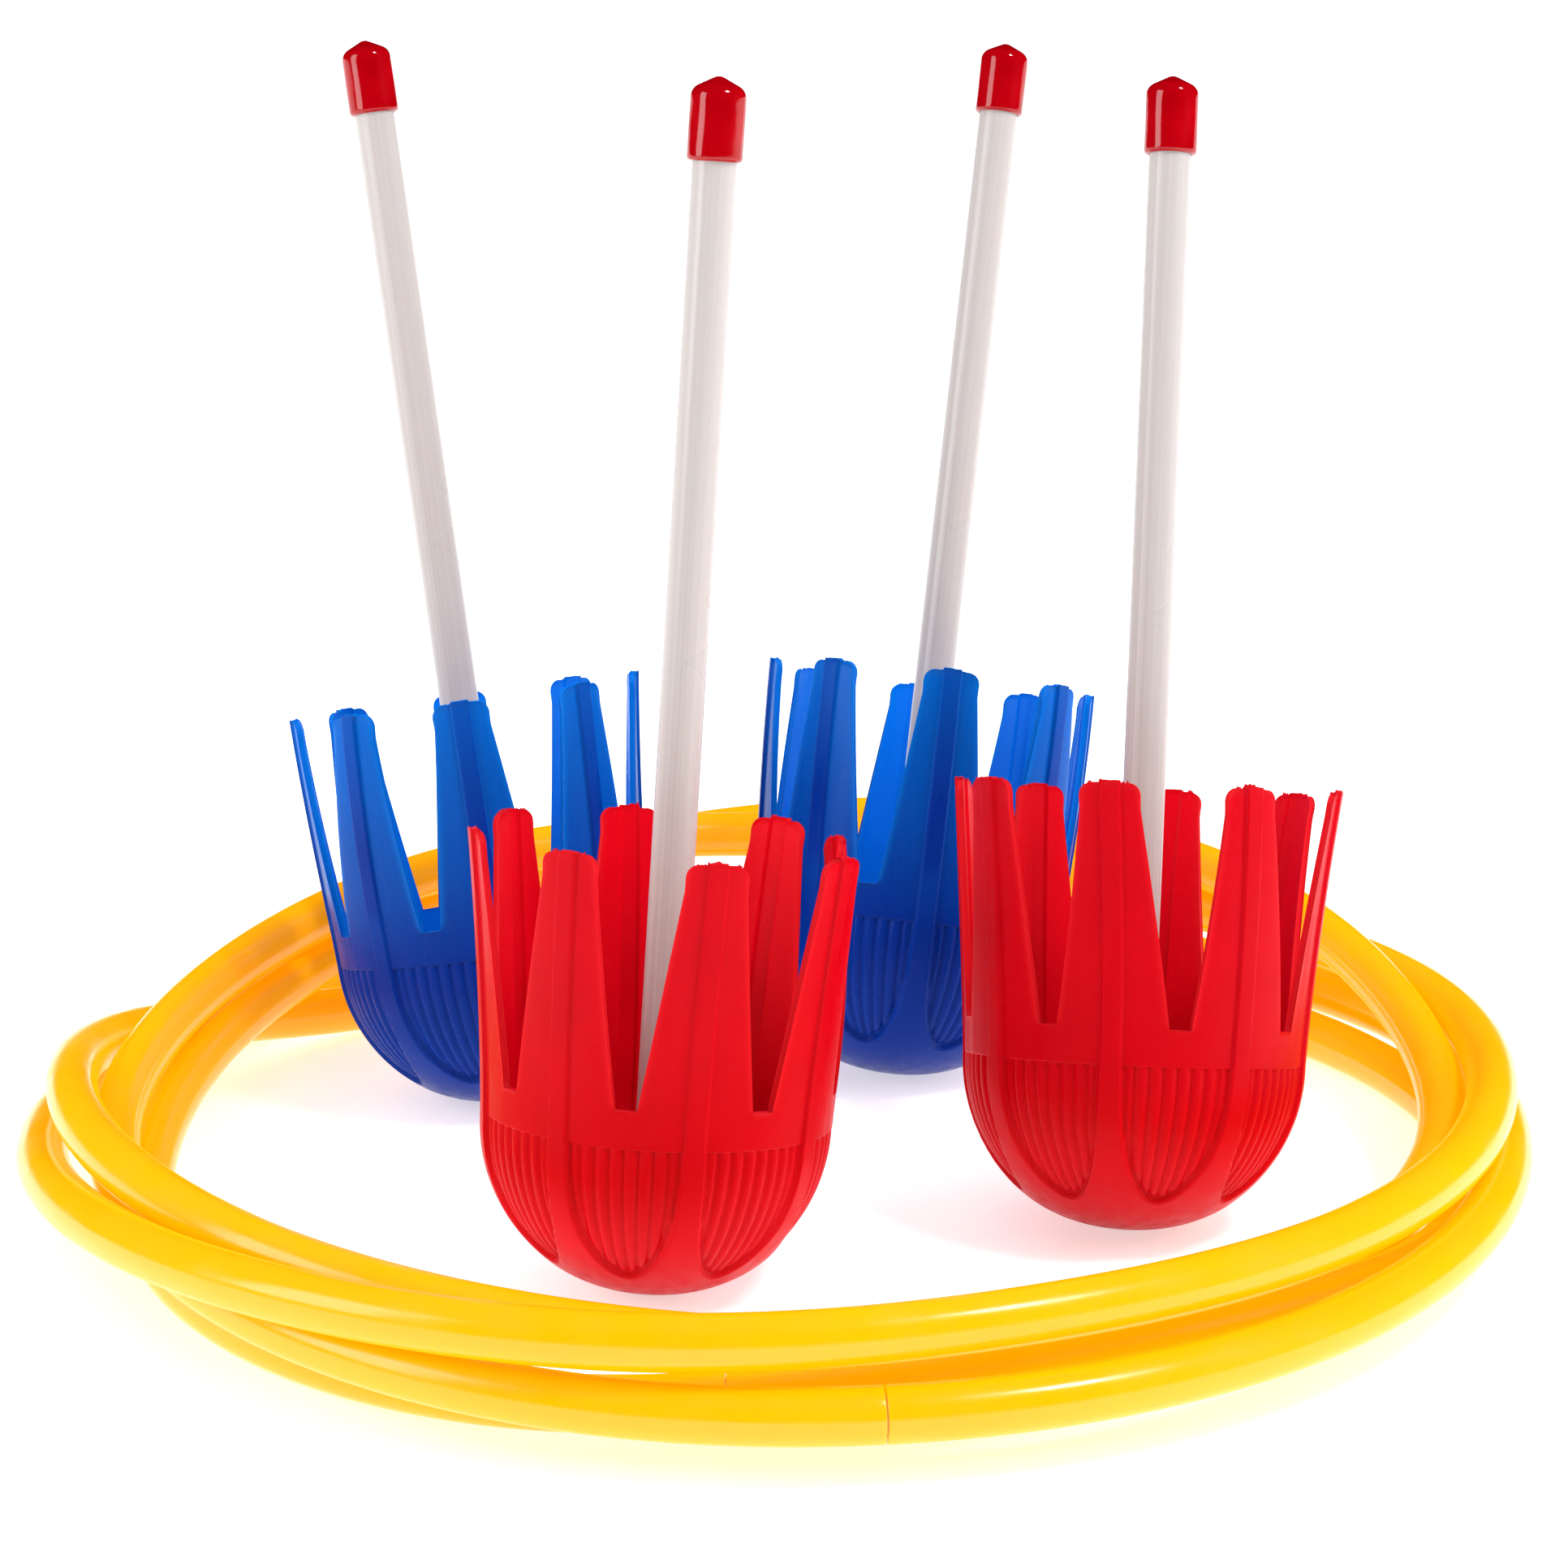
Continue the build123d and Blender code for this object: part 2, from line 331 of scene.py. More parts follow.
def panel_distance(offset, s):
    """Millimetres inside a fluted panel's arch; negative on the land outside it."""
    down = (PANEL_TOP_S - s) / NOSE_R * 180 / math.pi
    share = np.clip(down / PANEL_DEPTH, 0, None)
    form = 1 - share ** 3 - (offset / PANEL_HALF) ** 2
    per_degree = math.pi / 180 * NOSE_R
    across = per_degree * np.maximum(np.sin(s / NOSE_R), 0.05)
    d_s = 3 * share ** 2 / PANEL_DEPTH / per_degree
    d_x = 2 * np.abs(offset) / PANEL_HALF ** 2 / across
    return form / np.maximum(np.hypot(d_s, d_x), 0.02)


def reed_height(offset):
    """0 in the valley between two reeds, 1 on a reed's crest."""
    along = (offset + PANEL_HALF) / (2 * PANEL_HALF) * REEDS
    return np.abs(np.sin(math.pi * along)) ** 0.75


def outer_relief(turn, s, rib_half_deg):
    """Height of the outer skin above the plain skin. turn is degrees from the fin's middle."""
    turn = np.abs(turn)
    offset = HALF_PITCH - turn
    pole = smoothstep(s / (NOSE_R * math.radians(NOSE_LAND)))
    rib = RIB_H * rib_step(rib_half_deg, turn, NOSE_R, OUTER_STEP)
    inside = panel_distance(offset, s)
    wall = smoothstep(inside / PANEL_WALL)
    reed_end = smoothstep((inside - PANEL_WALL * 0.9) / REED_END)
    floor = -REED_VALLEY + (REED_VALLEY - REED_CREST) * reed_height(offset) * reed_end
    below = RIB_H * pole * (1 - wall) + floor * wall
    top_edge = smoothstep((s - PANEL_TOP_S) / PANEL_TOP_EDGE + 0.5)
    return below * (1 - top_edge) + rib * top_edge


def inner_relief(turn, s, rib_half_deg):
    """Height of the inner skin above the plain one: the back of each rib."""
    rise = smoothstep((s - BALL_ARC * 0.7) / 10)
    return RIB_H * RIB_BACK * rib_step(rib_half_deg, turn, NOSE_R, INNER_STEP) * rise


def fin_half_angle(z, r):
    """Half the angle a fin takes up at height z, in degrees."""
    gap_top = (2 * math.pi * CROWN_R / FIN_COUNT - FIN_TIP_W) / 2
    share = np.clip((z - SLOT_Z) / (CROWN_Z - FIN_CORNER_R - SLOT_Z), 0, 1)
    gap = SLOT_HALF + (gap_top - SLOT_HALF) * share
    return HALF_PITCH - np.degrees(np.arcsin(gap / r))


def half_columns():
    """Angles from a fin's middle to the middle of the slot, and the index of the fin's edge."""
    reed = 2 * PANEL_HALF / REEDS
    edge = HALF_PITCH - math.degrees(math.asin(SLOT_HALF / NOSE_R))
    columns = list(FIN_COLUMNS)
    for index in range(3):
        start = HALF_PITCH - PANEL_HALF + reed + index * reed
        columns += [start + reed * t for t in REED_COLUMNS]
    columns = [c for c in columns if c < edge - 0.35] + [edge]
    edge_index = len(columns) - 1
    columns += [edge + (HALF_PITCH - edge) * t for t in SLOT_COLUMNS]
    return np.array(columns), edge_index


def lower_rows():
    """Meridian lengths from just off the pole up to the slots' bottoms."""
    arch_s = PANEL_TOP_S - NOSE_R * math.radians(PANEL_DEPTH) - 1.5
    nose = np.linspace(0.6, arch_s, NOSE_ROWS)
    fluted = np.arange(arch_s + FLUTE_STEP, PANEL_TOP_S - 0.5, FLUTE_STEP)
    edge = PANEL_TOP_S + np.array([-0.4, -0.15, 0.0, 0.15, 0.4])
    band = np.linspace(PANEL_TOP_S + 1.2, s_of_z(SLOT_Z), BAND_ROWS)
    return np.concatenate([nose, fluted, edge, band])


def fin_warp(fin, share, table):
    """How far a fin has sprung in or out, and round, at a share of its height."""
    lean, twist = table[fin].T
    return lean * share ** 2, twist * share ** 1.5


def shell_points(turn, s, fin, share, relief, inset, table):
    """Points in the dart's frame, in millimetres, for columns turn degrees from a fin's middle."""
    r, z, out_r, out_z = base_skin(s)
    lean, twist = fin_warp(fin, share, table)
    height = relief - inset
    r = r + out_r * height + lean
    z = z + out_z * height
    angle = np.radians(-90 + fin * 360 / FIN_COUNT + turn + twist)
    return np.stack([r * np.cos(angle), r * np.sin(angle), z], -1)


def tip_height(x, half_width, rng, flash):
    """Height of the fin's end at x millimetres from its middle, with its stub and flash."""
    flat = half_width - FIN_CORNER_R
    over = np.clip(np.abs(x) - flat, 0, FIN_CORNER_R)
    drop = FIN_CORNER_R - np.sqrt(np.maximum(FIN_CORNER_R ** 2 - over ** 2, 0))
    stub = TIP_NUB_H * smoothstep((RIB_HALF_W - np.abs(x)) / 0.5 + 0.5)
    ragged = rng.uniform(-RAGGED, RAGGED, len(x)) * (np.abs(x) < flat)
    flashed = (rng.random(len(x)) < FLASH_CHANCE) * (np.abs(x) < flat + 1)
    spikes = flashed * rng.uniform(0.2, 1.0, len(x)) * flash
    return CROWN_Z - drop + stub + ragged + spikes


class ShellMesh:
    """Blocks of points, with their values for the material, and the faces that join them."""

    def __init__(self):
        self.points = []
        self.edge = []
        self.height = []
        self.faces = []

    def add(self, block, edge, height):
        """Adds an array of points, and returns the index of its first one."""
        start = sum(len(points) for points in self.points)
        self.points.append(block.reshape(-1, 3))
        self.edge.append(np.broadcast_to(edge, block.shape[:-1]).reshape(-1))
        self.height.append(np.broadcast_to(height, block.shape[:-1]).reshape(-1))
        return start


def add_ball(mesh, turn, table):
    """Both skins from the pole up to the slots; returns where each one's last row starts."""
    rows = lower_rows()
    rib_half = math.degrees(RIB_HALF_W / NOSE_R)
    all_turn = np.tile(turn[:-1], FIN_COUNT)
    all_fin = np.repeat(np.arange(FIN_COUNT), len(turn) - 1)
    count = len(all_turn)

    def skin(relief, inset):
        reliefs = [relief(all_turn, s, rib_half) for s in rows]
        return np.array([shell_points(all_turn, s, all_fin, 0.0, rise, inset, table)
                         for s, rise in zip(rows, reliefs)])

    height = rows[:, None] / s_of_z(CROWN_Z)
    outer = mesh.add(skin(outer_relief, 0.0), 0.0 * height, height)
    # the inner skin's heights run from 1 up, and the material lightens it there with painted light
    inner = mesh.add(skin(inner_relief, WALL), 0.0 * height, height + 1)
    outer_pole = mesh.add(np.array([[0.0, 0.0, 0.0]]), 0.0, 0.0)
    inner_pole = mesh.add(np.array([[0.0, 0.0, WALL]]), 0.0, 1.0)
    mesh.faces += grid_faces(len(rows), count, outer, flip=False)
    mesh.faces += grid_faces(len(rows), count, inner, flip=True)
    for col in range(count):
        after = (col + 1) % count
        mesh.faces.append((outer_pole, outer + after, outer + col))
        mesh.faces.append((inner_pole, inner + col, inner + after))
    last = (len(rows) - 1) * count
    return outer + last, inner + last


def fin_turns(turn, edge, r, edge_here):
    """A fin's columns at radius r: the rib keeps its width, and the faces fill the rest."""
    side = np.abs(turn)
    rib_here = RIB_COLUMN * NOSE_R / r
    on_rib = side * rib_here / RIB_COLUMN
    beside = rib_here + (side - RIB_COLUMN) / (edge - RIB_COLUMN) * (edge_here - rib_here)
    return np.sign(turn) * np.where(side <= RIB_COLUMN, on_rib, beside)


def fin_blocks(turn, edge, fin, table, rng, flash):
    """Outer and inner points of one fin, row by row, with their edge and height values."""
    tip_turn = fin_turns(turn, edge, CROWN_R, fin_half_angle(CROWN_Z, CROWN_R))
    tip_x = np.radians(tip_turn) * CROWN_R
    tip_z = tip_height(tip_x, float(np.abs(tip_x).max()), rng, flash)
    outer, inner, edges, heights = [], [], [], []
    for share in np.linspace(0, 1, FIN_ROWS + 1)[1:]:
        level = SLOT_Z + share * (CROWN_Z - SLOT_Z)
        r = float(base_skin(s_of_z(level))[0])
        edge_here = float(fin_half_angle(level, r))
        at = fin_turns(turn, edge, r, edge_here)
        s = s_of_z(SLOT_Z + share * (tip_z - SLOT_Z))
        rib_half = np.degrees(RIB_HALF_W / r)
        rib = rib_step(rib_half, at, r, OUTER_STEP)
        rib_back = RIB_H * RIB_BACK * rib_step(rib_half, at, r, INNER_STEP)
        outer.append(shell_points(at, s, fin, share, RIB_H * rib, 0.0, table))
        wall = WALL - FIN_THINNING * share
        inner.append(shell_points(at, s, fin, share, rib_back, wall, table))
        # painted highlight: the edge value rises towards the fin's edge, for a paler band there
        painted_edge_highlight = 1 - np.clip((edge_here - np.abs(at)) * np.pi / 180 * r / EDGE_HIGHLIGHT_BAND, 0, 1)
        edges.append(painted_edge_highlight ** 2)
        # painted shade: the ribs lie further back down the colour ramp than the fin faces
        heights.append(s_of_z(level) / s_of_z(CROWN_Z) - rib * smoothstep(share * 4) * RIB_SHADE)
    return np.array(outer), np.array(inner), np.array(edges), np.array(heights)


def add_fin(mesh, blocks, root, lows):
    """Adds a fin's two skins, joined to the ball's last rows at the columns in root."""
    outer, inner, edges, heights = blocks
    # the inner skin's heights run from 1 up, and the material lightens it there with painted light
    starts = (mesh.add(outer, edges, heights), mesh.add(inner, edges, heights + 1))
    width = len(root)
    for start, low, flip in zip(starts, lows, (False, True)):
        for k in range(width - 1):
            quad = (low + root[k], low + root[k + 1], start + k + 1, start + k)
            mesh.faces.append(quad[::-1] if flip else quad)
        mesh.faces += grid_faces(FIN_ROWS, width, start, closed=False, flip=flip)
    return starts


def crown_edge(low, starts, roots, count):
    """Points of one skin's open edge, in order round the crown."""
    edge = []
    for fin, (start, root) in enumerate(zip(starts, roots)):
        width = len(root)
        left = [k * width for k in range(FIN_ROWS)]
        across = [(FIN_ROWS - 1) * width + k for k in range(1, width - 1)]
        right = [k * width + width - 1 for k in range(FIN_ROWS - 1, -1, -1)]
        edge.append(low + root[0])
        edge += [start + k for k in left + across + right]
        col = root[-1]
        while col != roots[(fin + 1) % FIN_COUNT][0]:
            edge.append(low + col)
            col = (col + 1) % count
    return edge


def add_rim(mesh, edge_outer, edge_inner):
    """Closes the crown's edge between the two skins with a rounded strip."""
    everything = np.concatenate(mesh.points)
    o = everything[edge_outer]
    i = everything[edge_inner]
    along = np.roll(o, -1, 0) - np.roll(o, 1, 0)
    away = np.cross(along, o - i)
    away /= np.maximum(np.linalg.norm(away, axis=1, keepdims=True), 1e-9)
    near_edge = np.concatenate(mesh.height)[edge_outer]
    inset = (i - o) * RIM_INSET
    # the rounded strip gets edge value 1: the full painted highlight
    start_1 = mesh.add(o + inset + away * RIM_BEVEL, 1.0, near_edge)
    start_2 = mesh.add(i - inset + away * RIM_BEVEL, 1.0, near_edge)
    n = len(edge_outer)
    strip = [edge_outer, range(start_1, start_1 + n), range(start_2, start_2 + n), edge_inner]
    for k in range(n):
        m = (k + 1) % n
        for a, b in zip(strip, strip[1:]):
            mesh.faces.append((a[m], a[k], b[k], b[m]))


def build_shell_mesh(dart, seed):
    """The moulded cup: fluted ball, crown of ribbed fins, and its inner skin."""
    rng = np.random.default_rng(seed)
    table = np.array(FIN_SPRING[dart], float)
    flash = FLASH[dart.split("_")[0]]
    half, edge_index = half_columns()
    edge = half[edge_index]
    turn = np.concatenate([-half[::-1], half[1:]])
    sector = len(turn) - 1                     # the last column is the next sector's first
    count = sector * FIN_COUNT
    fin_cols = np.flatnonzero(np.abs(turn) <= edge + 1e-6)
    mesh = ShellMesh()
    lows = add_ball(mesh, turn, table)
    roots = [[(fin * sector + int(c)) % count for c in fin_cols] for fin in range(FIN_COUNT)]
    starts = []
    for fin, root in enumerate(roots):
        blocks = fin_blocks(turn[fin_cols], edge, fin, table, rng, flash)
        starts.append(add_fin(mesh, blocks, root, lows))
    outer_starts, inner_starts = zip(*starts)
    edge_outer = crown_edge(lows[0], outer_starts, roots, count)
    edge_inner = crown_edge(lows[1], inner_starts, roots, count)
    add_rim(mesh, edge_outer, edge_inner)
    values = {"edge": np.concatenate(mesh.edge), "height": np.concatenate(mesh.height)}
    return np.concatenate(mesh.points) * MM, mesh.faces, values


def make_shell(dart, seed):
    points, faces, values = build_shell_mesh(dart, seed)
    obj = make_object(dart + "_cup", points, faces, values, dart_matrix(dart))
    colour = dart.split("_")[0]
    obj.data.materials.append(MATERIALS[colour + "_shell"])
    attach(obj, dart + "_head")
    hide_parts(dart + "_shell")
    return obj


# ------------------------------------------------------------------ shaft and cap

def arc(cx, cz, radius, start, stop, steps):
    """Points of an arc, angles in degrees from +r towards +z."""
    angles = np.radians(np.linspace(start, stop, steps))
    return [(cx + radius * math.cos(a), cz + radius * math.sin(a)) for a in angles]


def shaft_profile():
    """Outer wall up with eased ends, then the bore down, as one closed section."""
    low, high = SHAFT_LOW_Z, SHAFT_HIGH_Z
    outer = arc(SHAFT_R - SHAFT_EASE, low + SHAFT_EASE, SHAFT_EASE, -90, 0, 4)
    outer += [(SHAFT_R, z) for z in np.linspace(low + 2, high - 2, 60)]
    outer += arc(SHAFT_R - SHAFT_EASE, high - SHAFT_EASE, SHAFT_EASE, 0, 90, 4)
    return outer + [(SHAFT_BORE_R, z) for z in (high - 0.1, high - 3, low + 3, low + 0.1)]


def make_shaft(dart, seed):
    points, faces = lathe(shaft_profile(), SHAFT_SEGMENTS, SHAFT_WOBBLE, seed)
    obj = make_object(dart + "_tube", points, faces, stand=dart_matrix(dart))
    obj.data.materials.append(MATERIALS["white_shaft"])
    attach(obj, dart + "_stick")
    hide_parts(dart + "_shaft")
    return obj


def cap_profile():
    """Dipped cap: lip, wall, rounded shoulder, shallow cone and soft apex, then the bore."""
    slope = math.radians(CAP_SLOPE)
    apex_cz = CAP_TOP_Z - CAP_APEX_R
    apex_r = CAP_APEX_R * math.sin(slope)
    apex_z = apex_cz + CAP_APEX_R * math.cos(slope)
    wall_top = apex_z - (CAP_R - apex_r) * math.tan(slope)
    turn = math.pi / 2 - slope
    reach = CAP_SHOULDER_R * math.tan(turn / 2)
    shoulder_cz = wall_top - reach
    outer = arc(CAP_R - CAP_LIP_R, CAP_LOW_Z + CAP_LIP_R, CAP_LIP_R, -85, 0, 7)
    outer += [(CAP_R, z) for z in np.linspace(CAP_LOW_Z + 1.6, shoulder_cz - 1, 9)]
    outer += arc(CAP_R - CAP_SHOULDER_R, shoulder_cz, CAP_SHOULDER_R, 0, 90 - CAP_SLOPE, 9)
    cone_r = CAP_R - CAP_SHOULDER_R + CAP_SHOULDER_R * math.sin(slope)
    cone_z = shoulder_cz + CAP_SHOULDER_R * math.cos(slope)
    for share in (0.33, 0.66):
        outer.append((cone_r + (apex_r - cone_r) * share, cone_z + (apex_z - cone_z) * share))
    outer += arc(0, apex_cz, CAP_APEX_R, 90 - CAP_SLOPE, 90, 6)
    outer[-1] = (0.0, outer[-1][1])
    roof = SHAFT_HIGH_Z
    inner = [(0.0, roof), (CAP_BORE_R * 0.6, roof), (CAP_BORE_R, roof), (CAP_BORE_R, roof - 0.5),
             (CAP_BORE_R, roof - 6), (CAP_BORE_R, CAP_LOW_Z + 0.8), (CAP_BORE_R + 0.1, CAP_LOW_Z + 0.15)]
    return outer, inner


def make_cap(dart, seed):
    outer, inner = cap_profile()
    points, faces = lathe(outer + inner, CAP_SEGMENTS, CAP_WOBBLE, seed)
    apex = (len(outer) - 1) * CAP_SEGMENTS      # no faces run along the axis below the apex
    faces = [face for face in faces if not apex <= face[0] < apex + CAP_SEGMENTS]
    obj = make_object(dart + "_dipped_cap", points, faces, stand=dart_matrix(dart))
    weld(obj)
    obj.data.polygons.foreach_set("use_smooth", [True] * len(obj.data.polygons))
    obj.data.materials.append(MATERIALS["red_vinyl"])
    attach(obj, dart + "_tip")
    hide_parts(dart + "_cap")
    return obj


# ------------------------------------------------------------------ rings

def bspline(values, at):
    """Periodic uniform cubic B-spline of evenly spaced values, at positions in steps."""
    y = np.asarray(values, float)
    n = len(y)
    k = np.floor(at).astype(int)
    t = at - k
    weights = ((1 - t) ** 3, 3 * t ** 3 - 6 * t ** 2 + 4, -3 * t ** 3 + 3 * t ** 2 + 3 * t + 1, t ** 3)
    return sum(w * y[(k + step) % n] for step, w in zip((-1, 0, 1, 2), weights)) / 6


def ring_point(ring, at):
    """Centreline in millimetres about the rings' middle, at positions in stations."""
    seam, stations = RINGS[ring]
    pitch = 2 * math.pi / STATIONS_PER_LOOP
    reach = 1 / (2 / 3 + math.cos(pitch) / 3)      # the spline cuts inside its control points
    angles = math.radians(seam) + (np.arange(len(stations)) + 0.5) * pitch
    radius = np.array([station[0] for station in stations]) * reach
    height = np.array([station[1] for station in stations])
    at = np.asarray(at, float)
    return np.stack([bspline(radius * np.cos(angles), at), bspline(radius * np.sin(angles), at),
                     bspline(height, at)], -1)


def rings_middle():
    """The rings' own middle in the shared frame, from where the seam's plug lies."""
    low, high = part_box("ring_a_connector")
    seam_at = ring_point("ring_a", np.array([-0.5]))[0] * MM
    middle = (low + high) / 2
    return Vector((middle.x - seam_at[0], middle.y - seam_at[1], 0))


def make_ring(ring, middle):
    """Hollow tube along the hoop, open at its butt seam, with eased ends."""
    stations = len(RINGS[ring][1])
    half_gap = SEAM_GAP / 2 / (2 * math.pi * RING_R / STATIONS_PER_LOOP)
    at = np.linspace(-0.5 + half_gap, stations - 0.5 - half_gap, RING_STEPS)
    line = ring_point(ring, at)
    along = ring_point(ring, at + 0.01) - ring_point(ring, at - 0.01)
    along /= np.linalg.norm(along, axis=1, keepdims=True)
    side = np.cross(along, np.array([0.0, 0.0, 1.0]))
    side /= np.linalg.norm(side, axis=1, keepdims=True)
    up = np.cross(side, along)
    angles = np.linspace(0, 2 * math.pi, TUBE_SEGMENTS, endpoint=False)

    def loop(index, radius, push=0.0):
        centre = line[index] + along[index] * push
        spokes = np.cos(angles)[:, None] * side[index] + np.sin(angles)[:, None] * up[index]
        return centre + spokes * radius

    last = RING_STEPS - 1
    rows = [loop(0, TUBE_BORE_R)]
    rows += [loop(0, TUBE_R - drop, push) for drop, push in TUBE_END]
    rows += [loop(k, TUBE_R) for k in range(1, last)]
    rows += [loop(last, TUBE_R - drop, -push) for drop, push in reversed(TUBE_END)]
    rows += [loop(last, TUBE_BORE_R)]
    rows += [loop(k, TUBE_BORE_R) for k in range(last - BORE_STRIDE, BORE_STRIDE - 1, -BORE_STRIDE)]
    points = np.concatenate(rows) * MM + np.array(middle)
    faces = section_faces(len(rows), TUBE_SEGMENTS)
    obj = make_object(ring + "_hoop", points, faces)
    obj.data.materials.append(MATERIALS["yellow_tube"])
    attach(obj, "rings")
    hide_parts(ring + "_tube")
    return obj


# ------------------------------------------------------------------ materials

def principled(material):
    return next(node for node in material.node_tree.nodes if node.type == "BSDF_PRINCIPLED")


def new_material(name):
    material = bpy.data.materials.new(name)
    material.use_nodes = True
    return material, material.node_tree.nodes, material.node_tree.links, principled(material)


def set_inputs(node, **values):
    for key, value in values.items():
        node.inputs[key.replace("_", " ")].default_value = value


def place_coords(nodes):
    """Coordinates of the piece in its own frame, as stored on its points."""
    node = nodes.new("ShaderNodeAttribute")
    node.attribute_name = "place"
    return node.outputs["Vector"]


def object_coords(nodes):
    return nodes.new("ShaderNodeTexCoord").outputs["Object"]


def noise(nodes, links, coords, scale, detail=3.0, stretch=None):
    """Noise texture on the given coordinates, optionally stretched along an axis."""
    node = nodes.new("ShaderNodeTexNoise")
    node.inputs["Scale"].default_value = scale
    node.inputs["Detail"].default_value = detail
    if stretch:
        mapping = nodes.new("ShaderNodeMapping")
        mapping.inputs["Scale"].default_value = stretch
        links.new(coords, mapping.inputs["Vector"])
        links.new(mapping.outputs["Vector"], node.inputs["Vector"])
    else:
        links.new(coords, node.inputs["Vector"])
    return node


def ramp(nodes, links, source, stops):
    node = nodes.new("ShaderNodeValToRGB")
    elements = node.color_ramp.elements
    while len(elements) < len(stops):
        elements.new(0.5)
    for element, (position, colour) in zip(elements, stops):
        element.position = position
        element.color = (*colour, 1.0)
    links.new(source, node.inputs["Fac"])
    return node


def value_range(nodes, links, source, low, high, from_low=0.0, from_high=1.0):
    node = nodes.new("ShaderNodeMapRange")
    node.inputs["From Min"].default_value = from_low
    node.inputs["From Max"].default_value = from_high
    node.inputs["To Min"].default_value = low
    node.inputs["To Max"].default_value = high
    links.new(source, node.inputs["Value"])
    return node


def bump(nodes, links, shader, height, strength, distance, under=None):
    node = nodes.new("ShaderNodeBump")
    node.inputs["Strength"].default_value = strength
    node.inputs["Distance"].default_value = distance
    links.new(height, node.inputs["Height"])
    if under:
        links.new(under.outputs["Normal"], node.inputs["Normal"])
    links.new(node.outputs["Normal"], shader.inputs["Normal"])
    return node


def mottle(nodes, links, shader, texture, first, second):
    """Base colour from first to second, following a noise texture."""
    low, high = NOISE_SPAN
    colour = ramp(nodes, links, texture.outputs["Fac"], [(low, first), (high, second)])
    links.new(colour.outputs["Color"], shader.inputs["Base Color"])


def roughen(nodes, links, shader, texture, low, high):
    """Roughness from low to high, following a noise texture."""
    rough = value_range(nodes, links, texture.outputs["Fac"], low, high, *NOISE_SPAN)
    links.new(rough.outputs["Result"], shader.inputs["Roughness"])


def mix_colour(nodes, links, factor, first, second, blend="MIX"):
    """Mixes two colours; each is a socket or a constant."""
    node = nodes.new("ShaderNodeMix")
    node.data_type = "RGBA"
    node.blend_type = blend
    for socket, value in ((node.inputs[0], factor), (node.inputs[6], first), (node.inputs[7], second)):
        if isinstance(value, bpy.types.NodeSocket):
            links.new(value, socket)
        elif isinstance(value, tuple):
            socket.default_value = (*value, 1.0)
        else:
            socket.default_value = value
    return node.outputs[2]


def attribute(nodes, name):
    node = nodes.new("ShaderNodeAttribute")
    node.attribute_name = name
    return node.outputs["Fac"]


def shell_material(name, painted_shade_foot, low, high, painted_edge_highlight, roughness, grain, shine):
    """Moulded polyethylene, darker towards the ball's foot with painted shade and lighter up the fins,
    with painted light on the inner skin and a painted highlight along the fins' edges.
    """
    material, nodes, links, shader = new_material(name)
    coords = place_coords(nodes)
    height = attribute(nodes, "height")
    # painted shade: the ball is darkest at its foot, then lighter up the fins
    body = ramp(nodes, links, height, [(0.0, painted_shade_foot), (0.3, low), (0.5, low), (1.0, high)])
    cloud = noise(nodes, links, coords, 55, 2)
    tint = value_range(nodes, links, cloud.outputs["Fac"], 0.9, 1.1)
    speckled = mix_colour(nodes, links, 1.0, body.outputs["Color"], tint.outputs["Result"], "MULTIPLY")
    # painted light: heights above 1 mark the inner skin, which is lightened up the fins
    inside = value_range(nodes, links, height, 1.0, INSIDE_PAINTED_LIGHT, 1.2, 1.7)
    coloured = mix_colour(nodes, links, 1.0, speckled, inside.outputs["Result"], "MULTIPLY")
    # painted highlight: the edge value blends the colour towards the paler edge colour
    edge_highlight_share = value_range(nodes, links, attribute(nodes, "edge"), 0.0, 0.6)
    final = mix_colour(nodes, links, edge_highlight_share.outputs["Result"], coloured, painted_edge_highlight)
    links.new(final, shader.inputs["Base Color"])
    fine = noise(nodes, links, coords, 1700, 2)
    streak = noise(nodes, links, coords, 260, 2, (1.0, 1.0, 0.12))
    roughen(nodes, links, shader, streak, roughness - 0.08, roughness + 0.1)
    first = bump(nodes, links, shader, fine.outputs["Fac"], grain, 0.0002)
    bump(nodes, links, shader, cloud.outputs["Fac"], 0.25, 0.0006, first)
    set_inputs(shader, Subsurface_Weight=0.15, Subsurface_Scale=0.002, Specular_IOR_Level=shine)
    return material


def tube_material():
    """Glossy, slightly translucent yellow tube, with faint lines along its length."""
    material, nodes, links, shader = new_material("yellow_tube")
    coords = place_coords(nodes)
    cloud = noise(nodes, links, coords, 14, 3)
    mottle(nodes, links, shader, cloud, (0.88, 0.35, 0.0), (0.96, 0.39, 0.0))
    smear = noise(nodes, links, coords, 90, 3)
    roughen(nodes, links, shader, smear, 0.14, 0.26)
    bump(nodes, links, shader, smear.outputs["Fac"], 0.12, 0.0006)
    set_inputs(shader, Subsurface_Weight=0.3, Subsurface_Scale=0.006, Specular_IOR_Level=0.5)
    shader.inputs["Subsurface Radius"].default_value = (1.0, 0.6, 0.1)
    shader.inputs["Emission Color"].default_value = (1.0, 0.43, 0.0, 1.0)
    shader.inputs["Emission Strength"].default_value = TUBE_GLOW
    return material


def shaft_material():
    """White extruded polystyrene, with the fine lines that a die leaves."""
    material, nodes, links, shader = new_material("white_shaft")
    coords = place_coords(nodes)
    lines = noise(nodes, links, coords, 900, 2, (1.0, 1.0, 0.004))
    mottle(nodes, links, shader, lines, (0.51, 0.47, 0.46), (0.57, 0.535, 0.525))
    cloud = noise(nodes, links, coords, 40, 2)
    roughen(nodes, links, shader, cloud, 0.27, 0.31)
    bump(nodes, links, shader, lines.outputs["Fac"], 0.3, 0.0001)
    set_inputs(shader, Subsurface_Weight=0.2, Subsurface_Scale=0.003)
    return material


